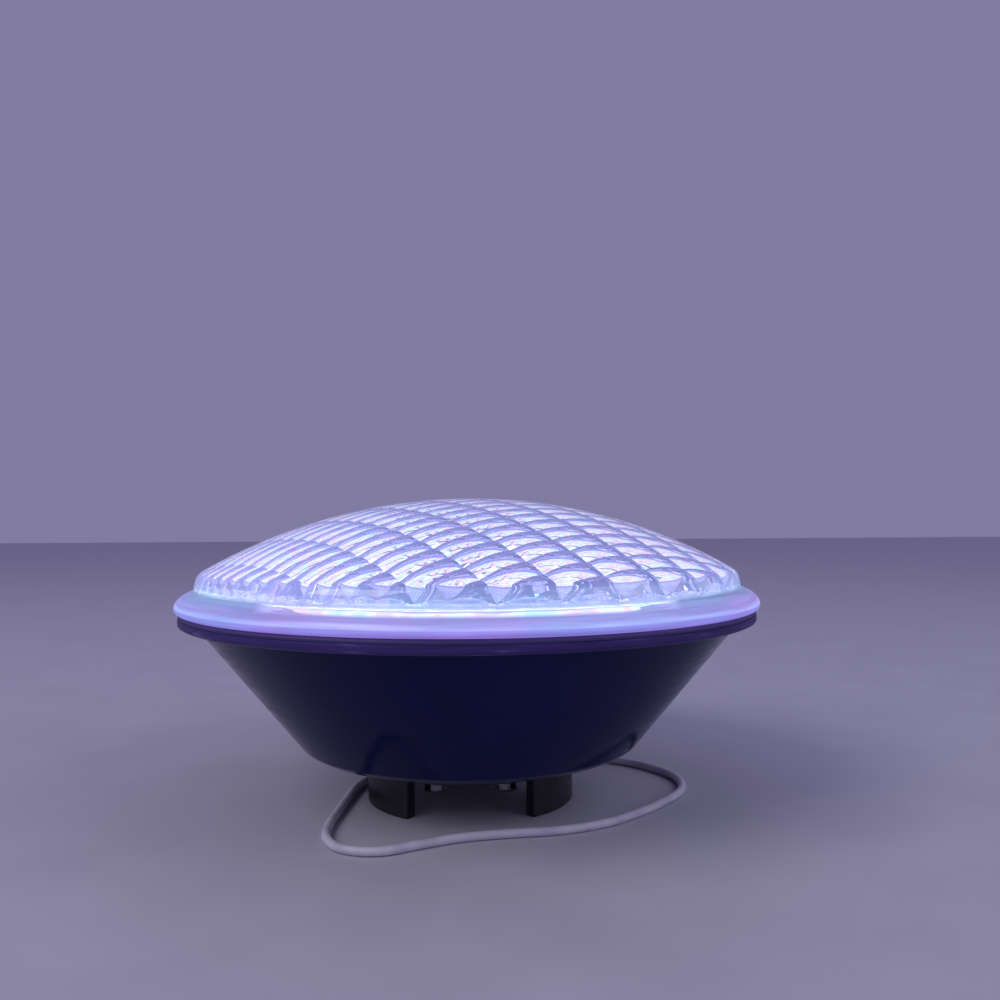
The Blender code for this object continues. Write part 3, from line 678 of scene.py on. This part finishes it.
def make_housing():
    """Rim and cone in one turned wall, open below, with three screw bosses on its floor."""
    outside = [
        (86.6, RIM_TOP_Z),
        (88.0, RIM_TOP_Z),
        (88.0, 56.3),
        (86.4, RIM_FOOT_Z),
        (CONE_TOP_RADIUS + 0.05, RIM_FOOT_Z),
        (cone_radius(18.0), 18.0),
        (cone_radius(CONE_FOOT_Z) - 2.0, CONE_FOOT_Z),
        (40.0, CONE_FOOT_Z),
    ]
    inside = [
        (19.9, CONE_FOOT_Z),
        (19.9, 18.5),
        (cone_radius(18.5) - 3.2, 18.5),
        (79.5, RIM_FOOT_Z),
        (80.0, RIM_TOP_Z),
    ]
    parts = [lathe(rounded(outside, 0.55, 4) + rounded(inside, 0.4, 2), 288)]
    boss = [(3.8, 26.0), (4.0, 18.2), (1.8, 18.2), (1.8, 26.0)]
    for angle in BOSS_ANGLES_DEG:
        at = (BOSS_CIRCLE * cos(radians(angle)), BOSS_CIRCLE * sin(radians(angle)), 0.0)
        parts.append(lathe(boss, 32, at=at))
    place(mesh_object("housing_shell", parts, housing_look()), "lamp", "housing_gloss", "rear_housing")


def make_seal():
    """The dark gasket under the flange, bulged at its outer side. The base gasket is of its rubber."""
    dark, light = (0.06, 0.042, 0.16), (0.08, 0.055, 0.20)
    rubber = grained("seal_rubber", dark, light, (0.5, 0.7), 700.0, bump=0.02)
    outline = [(87.6, 59.65), (87.9, 59.0), (87.6, 58.35), (81.2, 58.35), (81.2, 59.65)]
    place(mesh_object("lens_gasket", [lathe(outline, 240)], rubber), "lamp", "seal_rubber", "lens_seal")
    repaint("base_gasket", rubber)


# ---------------------------------------------------------------- light source

EMITTERS = {
    tint: glowing(f"led_{tint}", dark, light, EMITTER_GLOW, 300.0)
    for tint, (dark, light) in EMITTER_TINTS.items()
}


def glow_tint(tree):
    """A colour that drifts through the tints of the mixed coloured emitters."""
    return ramp(tree, noise(tree, 110.0, detail=2.0), GLOW_TINTS)


def reflector_look():
    """White cone lit by the emitters, with lavender at its very top and in specks at its back."""
    made, tree, shader = surface("reflector_white", (0.24, 0.24, 0.28), 0.35, Emission_Strength=0.9)
    _, height, x, y = lamp_coordinates(tree)
    specks = product(
        tree,
        rescale(tree, noise(tree, 170.0, detail=2.0), 0.44, 0.40),
        rescale(tree, math_node(tree, "ABSOLUTE", x), 24.0, 12.0),
        rescale(tree, y, 20.0, 40.0),
    )
    speckled = mix(tree, specks, glow_tint(tree), REFLECTOR_SPECKS)
    colour = mix(tree, rescale(tree, height, 61.0, 61.6), speckled, REFLECTOR_TOP)
    tree.links.new(colour, shader.inputs["Emission Color"])
    return made


def board_look():
    """White board lit by the emitters, with a darker violet middle."""
    made, tree, shader = surface("led_board_white", (0.28, 0.28, 0.32), 0.4, Emission_Strength=0.78)
    middle = rescale(tree, lamp_coordinates(tree)[0], 10.5, 9.5)
    colour = mix(tree, middle, glow_tint(tree), BOARD_MIDDLE)
    tree.links.new(colour, shader.inputs["Emission Color"])
    return made


def make_light_source():
    cone = mesh_object("reflector_cone", [lathe(rounded(REFLECTOR, 0.3, 2), 240)], reflector_look())
    place(cone, "lamp", "reflector_white", "reflector")
    repaint("led_board", board_look())
    make_emitters()


def make_emitters():
    """Each emitter: a round base with two soldered tabs, a step, and a clear dome over it."""
    dome_radius, dome_foot, dome_angles = 2.6, 1.2, range(0, 91, 6)
    outline = []
    for angle in dome_angles:
        a = radians(angle)
        outline.append((dome_radius * sin(a), dome_foot + dome_radius * cos(a)))
    outline += [(2.75, dome_foot), (2.75, 0.95), (3.45, 0.95), (3.6, 0.8), (3.6, 0.0), (0.0, 0.0)]
    tab_reach, tab_height, tab_size = 3.9, 0.25, (1.2, 1.6, 0.4)
    for number in range(1, EMITTER_COUNT + 1):
        x, y, foot = middle_of(f"led_{number:02d}")
        parts = [lathe(outline, 48, closed=False, at=(x, y, foot))]
        for side in (-1.0, 1.0):
            parts.append(block((x + side * tab_reach, y, foot + tab_height), tab_size, 0.12))
        colour = tuple(EMITTERS)[number % len(EMITTERS)]
        emitter = mesh_object(f"emitter_{number:02d}", parts, EMITTERS[colour])
        place(emitter, "lamp", "led_" + colour, f"led_{number:02d}")


# ---------------------------------------------------------------- driver


def make_driver():
    make_inductor()
    make_capacitor()
    dark, light = (0.014, 0.014, 0.016), (0.03, 0.03, 0.034)
    black = grained("component_black", dark, light, (0.4, 0.6), 800.0, bump=0.02)
    make_legged("control_chip", "chip_body", (10.0, 6.0, 1.8), 5, 0.45, black)
    make_legged("bridge_rectifier", "bridge_body", (9.0, 7.0, 3.0), 2, 0.9, black)
    dark, light = (0.010, 0.11, 0.05), (0.03, 0.21, 0.10)
    repaint("driver_board", grained("board_green", dark, light, (0.3, 0.5), 260.0, (1.0, 0.2, 1.0)))
    repaint("led_ribbon", ribbon_look())


def ribbon_look():
    """Grey flat cable, striped along its conductors."""
    made, tree, shader = surface("ribbon_grey", (0.45, 0.45, 0.47), 0.5)
    spot = node(tree, "ShaderNodeTexCoord").outputs["Object"]
    wave = node(tree, "ShaderNodeTexWave", {"Vector": spot, "Scale": 250.0}, bands_direction="X")
    stripes = ramp(tree, wave.outputs["Fac"], ((0.35, (0.30, 0.30, 0.32)), (0.65, (0.56, 0.56, 0.58))))
    tree.links.new(stripes, shader.inputs["Base Color"])
    return made


def make_inductor():
    """A ferrite ring wound with thick enamelled wire."""
    x, y, foot = middle_of("inductor")
    copper = grained("inductor_copper", (0.55, 0.20, 0.07), (0.76, 0.36, 0.15), (0.2, 0.38), 700.0, metal=0.9)
    ring_radius, half_width, half_height = 6.0, 3.0, 4.0
    wire, turns, steps, wound = 0.42, 34, 20, radians(330.0)
    path = []
    for i in range(turns * steps):
        swing = 2 * pi * i / steps
        angle = wound * i / (turns * steps)
        r = ring_radius + (half_width - wire) * cos(swing)
        z = foot + half_height + (half_height - wire) * sin(swing)
        path.append(Vector((x + r * cos(angle), y + r * sin(angle), z)))
    core_outline = [(3.7, 1.3), (3.7, 6.7), (8.3, 6.7), (8.3, 1.3)]
    parts = [lathe(core_outline, 64, at=(x, y, foot)), tube_along(path, wire, 8)]
    place(mesh_object("inductor_coil", parts, copper), "lamp", "inductor_copper", "inductor")


def make_capacitor():
    """A can with a rolled groove and a raised cross on its sunk top."""
    x, y, foot = middle_of("capacitor")
    sleeve = grained("capacitor_sleeve", (0.015, 0.022, 0.09), (0.03, 0.04, 0.16), (0.2, 0.35), 300.0)
    outline = [(0.0, 9.3), (3.6, 9.3), (3.9, 9.6), (4.6, 9.6), (5.0, 9.1), (5.0, 1.9), (4.7, 1.6), (4.7, 1.2)]
    outline += [(5.0, 0.9), (5.0, 0.3), (4.7, 0.0), (0.0, 0.0)]
    parts = [lathe(outline, 64, closed=False, at=(x, y, foot))]
    for size in ((5.6, 0.35, 0.16), (0.35, 5.6, 0.16)):
        parts.append(block((x, y, foot + 9.36), size, 0.03))
    place(mesh_object("capacitor_can", parts, sleeve), "lamp", "capacitor_sleeve", "capacitor")


def make_legged(node_name, name, size, legs, leg_width, look):
    """A moulded component with rows of bent legs on its two long sides and a dot at its first leg."""
    x, y, foot = middle_of(node_name)
    length, width, height = size
    leg_thick, leg_edge = 0.18, 0.03
    parts = [block((x, y, foot + height / 2 + 0.15), (length, width - 1.4, height - 0.3), 0.25)]
    dot = [(0.0, 0.05), (0.5, 0.05), (0.5, 0.0), (0.0, 0.0)]
    parts.append(lathe(dot, 24, False, (x - length * 0.36, y, foot + height)))
    for side in (-1.0, 1.0):
        for i in range(legs):
            along = x + length * ((i + 0.5) / legs - 0.5)
            out = y + side * (width / 2 - 0.55)
            level, drop = foot + height * 0.45, foot + height * 0.24
            parts.append(block((along, out, level), (leg_width, 0.9, leg_thick), leg_edge))
            upright = (leg_width, leg_thick, height * 0.45)
            parts.append(block((along, out + side * 0.45, drop), upright, leg_edge))
    place(mesh_object(name, parts, look), "lamp", "component_black", node_name)


# ---------------------------------------------------------------- lead


def coil_point(turned_deg):
    """Point of the coil after turned_deg degrees past its entry, counted along all its layers."""
    turns = turned_deg / 360.0
    layer = min(int(turns / COIL_LAYER_TURNS), COIL_LAYERS - 1)
    share = turns / COIL_LAYER_TURNS - layer
    inward = share if layer % 2 == 0 else 1.0 - share
    radius = COIL_OUTER_TURN + (COIL_INNER_TURN - COIL_OUTER_TURN) * inward
    rise = 0.0
    for change in range(1, COIL_LAYERS):
        past = turned_deg - change * COIL_LAYER_TURNS * 360.0
        rise += smoothstep(past / COIL_CLIMB_DEG + 0.5)
    angle = radians(COIL_ENTRY_DEG[1] + turned_deg)
    x = COIL_CENTRE[0] + radius * cos(angle)
    y = COIL_CENTRE[1] + radius * sin(angle)
    return Vector((x, y, COIL_FOOT_Z + COIL_PITCH * rise))


def lead_line():
    """The lead's whole centreline: its route, the entry to the coil, the coil and the tail."""
    line = catmull_rom(LEAD_ROUTE, ROUTE_STEPS)
    start = line[-1]
    entry_radius = hypot(start.x - COIL_CENTRE[0], start.y - COIL_CENTRE[1])
    first, last = COIL_ENTRY_DEG
    entry_steps = 10
    for i in range(1, entry_steps):
        s = i / entry_steps
        angle = radians(first + (last - first) * s)
        radius = COIL_OUTER_TURN + (entry_radius - COIL_OUTER_TURN) * (1 - s) ** 2
        z = start.z + (COIL_FOOT_Z - start.z) * s
        line.append(Vector((COIL_CENTRE[0] + radius * cos(angle), COIL_CENTRE[1] + radius * sin(angle), z)))
    total = COIL_LAYERS * COIL_LAYER_TURNS * 360.0
    coil_steps = int(total / COIL_STEP_DEG)
    line += [coil_point(total * i / coil_steps) for i in range(coil_steps + 1)]
    tail = catmull_rom([line[-1], *TAIL_ROUTE], ROUTE_STEPS)
    return line + tail[1:]


def tie_ring(half, foot, top, spread):
    """A rounded loop of (distance from the coil's centre, height) points round the coil's section."""
    middle, corner, steps = COIL_MIDDLE_TURN / MM, 1.0, 8
    low, high = foot + corner, top - corner
    ring = []
    for x_side, z, first in ((1, high, 0), (-1, high, 90), (-1, low, 180), (1, low, 270)):
        for i in range(steps + 1):
            a = radians(first + 90.0 * i / steps)
            x = middle + x_side * (half - corner) + (corner + spread) * cos(a)
            ring.append((x, z + (corner + spread) * sin(a)))
    return ring


def make_lead_tie():
    """A moulded strap round the coil's section, with its head on top and a cut tail."""
    half = (COIL_OUTER_TURN - COIL_INNER_TURN) / 2 / MM + LEAD_DIAMETER / 2 / MM
    top = (COIL_FOOT_Z + COIL_PITCH * (COIL_LAYERS - 1) + LEAD_DIAMETER / 2) / MM
    foot, slack, strap, half_width = 0.4, 0.05, 0.3, 1.3
    rings = [tie_ring(half, foot, top, spread) for spread in (slack, slack + strap)]
    count = len(rings[0])
    verts, faces = [], []
    for ring in rings:
        for side in (half_width, -half_width):
            verts += [(side, COIL_CENTRE[1] / MM + x, z) for x, z in ring]
    loops = (0, 2, 3, 1)
    for a, b in zip(loops, loops[1:] + loops[:1]):
        for i in range(count):
            j = (i + 1) % count
            faces.append((a * count + i, b * count + i, b * count + j, a * count + j))
    over = COIL_CENTRE[1] / MM + COIL_MIDDLE_TURN / MM
    head = block((0.0, over, top + 1.35), (3.6, 3.4, 2.0), 0.35)
    tail = block((0.0, over + 3.2, top + 1.2), (2.2, 3.2, 0.7), 0.15)
    nylon = grained("tie_nylon", (0.58, 0.57, 0.60), (0.70, 0.69, 0.72), (0.35, 0.5), 400.0, bump=0.02)
    tie = mesh_object("lead_tie", [(verts, faces), head, tail], nylon)
    place(tie, "lamp", "lead_pale")


def make_plug():
    """The lead's two-pole connector: a neck for the lead, grip ribs, and a recess at its front."""
    sections = [(6.5, 1.7, 1.7), (6.4, 1.9, 1.8), (4.6, 2.3, 2.0), (4.2, 3.1, 2.2)]
    rib_count, rib_pitch = 4, 1.5
    for i in range(rib_count):
        y = 3.6 - i * rib_pitch
        sections += [(y, 3.3, 2.3), (y - 0.6, 3.3, 2.3), (y - 0.75, 3.05, 2.1), (y - 1.2, 3.05, 2.1)]
    sections += [(-2.6, 3.2, 2.25), (-6.2, 3.2, 2.25), (-6.5, 3.0, 2.05), (-6.5, 2.7, 1.75), (-5.6, 2.6, 1.7)]
    low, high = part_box("lead_connector")
    centre = tuple((a + b) / 2 / MM for a, b in zip(low, high))
    shell = grained("connector_white", (0.64, 0.63, 0.61), (0.76, 0.75, 0.72), (0.3, 0.48), 450.0, bump=0.02)
    body = loft(sections, CONNECTOR_TURN_DEG, centre)
    place(mesh_object("plug_shell", [body], shell), "lamp", "connector_white", "lead_connector")


def make_lead():
    """The lead as one curve, with its tie and plug."""
    make_lead_tie()
    make_plug()
    line = lead_line()
    curve = bpy.data.curves.new("supply_flex", "CURVE")
    curve.dimensions = "3D"
    curve.bevel_depth = LEAD_DIAMETER / 2
    curve.bevel_resolution = 4
    curve.use_fill_caps = True
    spline = curve.splines.new("POLY")
    spline.points.add(len(line) - 1)
    for point, spot in zip(spline.points, line):
        point.co = (*spot, 1.0)
    sheath = grained("lead_pale", (0.50, 0.48, 0.58), (0.66, 0.64, 0.72), (0.38, 0.55), 180.0, bump=0.03)
    curve.materials.append(sheath)
    lead = link(bpy.data.objects.new("supply_flex", curve))
    place(lead, "lamp", "lead_pale", "supply_lead", "lead_coil", "lead_tail")


# ---------------------------------------------------------------- studio


def make_camera():
    data = bpy.data.cameras.new("camera")
    data.lens = CAMERA_LENS
    data.sensor_width = 36.0
    data.clip_start = 0.01
    data.clip_end = 50.0
    camera = link(bpy.data.objects.new("camera", data))
    camera.location = CAMERA_PLACE
    turns = (90.0 + CAMERA_PITCH_DEG, CAMERA_ROLL_DEG, -CAMERA_YAW_DEG)
    camera.rotation_euler = [radians(turn) for turn in turns]
    bpy.context.scene.camera = camera


def make_area_light(name, spot, side, power, colour):
    data = bpy.data.lights.new(name, "AREA")
    data.shape = "RECTANGLE"
    data.size = data.size_y = side
    data.energy = power
    data.color = colour
    light = link(bpy.data.objects.new(name, data))
    light.location = spot
    light.rotation_euler = (Vector(LIGHTS_AIM) - Vector(spot)).to_track_quat("-Z", "Y").to_euler()


def make_studio():
    world = bpy.data.worlds.new("studio")
    bpy.context.scene.world = world
    bpy.context.scene.view_settings.view_transform = "Standard"
    world.use_nodes = True
    background = world.node_tree.nodes["Background"]
    background.inputs["Color"].default_value = WORLD_COLOUR
    background.inputs["Strength"].default_value = 1.0
    corners = [(x * FLOOR_REACH, y * FLOOR_REACH, 0.0) for x, y in ((-1, -1), (1, -1), (1, 1), (-1, 1))]
    look = grained("floor_pale", (0.50, 0.49, 0.56), (0.54, 0.53, 0.60), (0.55, 0.65), 30.0)
    mesh_object("floor", [(corners, [(0, 1, 2, 3)])], look)
    for light in LIGHTS:
        make_area_light(*light)


def paint_cad():
    """Materials for the CAD pieces that are shown as they are."""
    dark, light = (0.008, 0.008, 0.014), (0.016, 0.016, 0.024)
    repaint("base_cap", grained("cap_plastic", dark, light, (0.3, 0.5), 500.0, bump=0.03, edge=0.8))
    steel = turned_metal("screw_steel", (0.50, 0.50, 0.52), (0.68, 0.68, 0.70), (0.18, 0.34))
    brass = turned_metal("terminal_brass", (0.66, 0.46, 0.17), (0.80, 0.60, 0.27), (0.2, 0.34))
    red = grained("wire_red", (0.42, 0.015, 0.015), (0.55, 0.03, 0.02), (0.35, 0.5), 600.0)
    black = grained("wire_black", (0.010, 0.010, 0.011), (0.02, 0.02, 0.022), (0.35, 0.5), 600.0)
    aluminium = turned_metal("plate_aluminium", (0.66, 0.67, 0.69), (0.80, 0.81, 0.83), (0.28, 0.45))
    repaint("carrier_plate", aluminium)
    for number in (1, 2, 3):
        repaint(f"led_board_screw_{number}", steel)
        repaint(f"driver_screw_{number}", steel)
        repaint(f"base_screw_{number}", steel)
        repaint(f"spacer_{number}", brass)
    for number in (1, 2):
        repaint(f"terminal_post_{number}", brass)
        for name in ("fork_lug", "clamp_washer", "terminal_screw"):
            repaint(f"{name}_{number}", steel)
        wire = red if number == 1 else black
        repaint(f"driver_lead_{number}", wire)
        repaint(f"lead_core_{number}", wire)


def main():
    make_camera()
    make_studio()
    make_lens()
    make_seal()
    make_housing()
    make_light_source()
    make_driver()
    make_lead()
    paint_cad()


main()
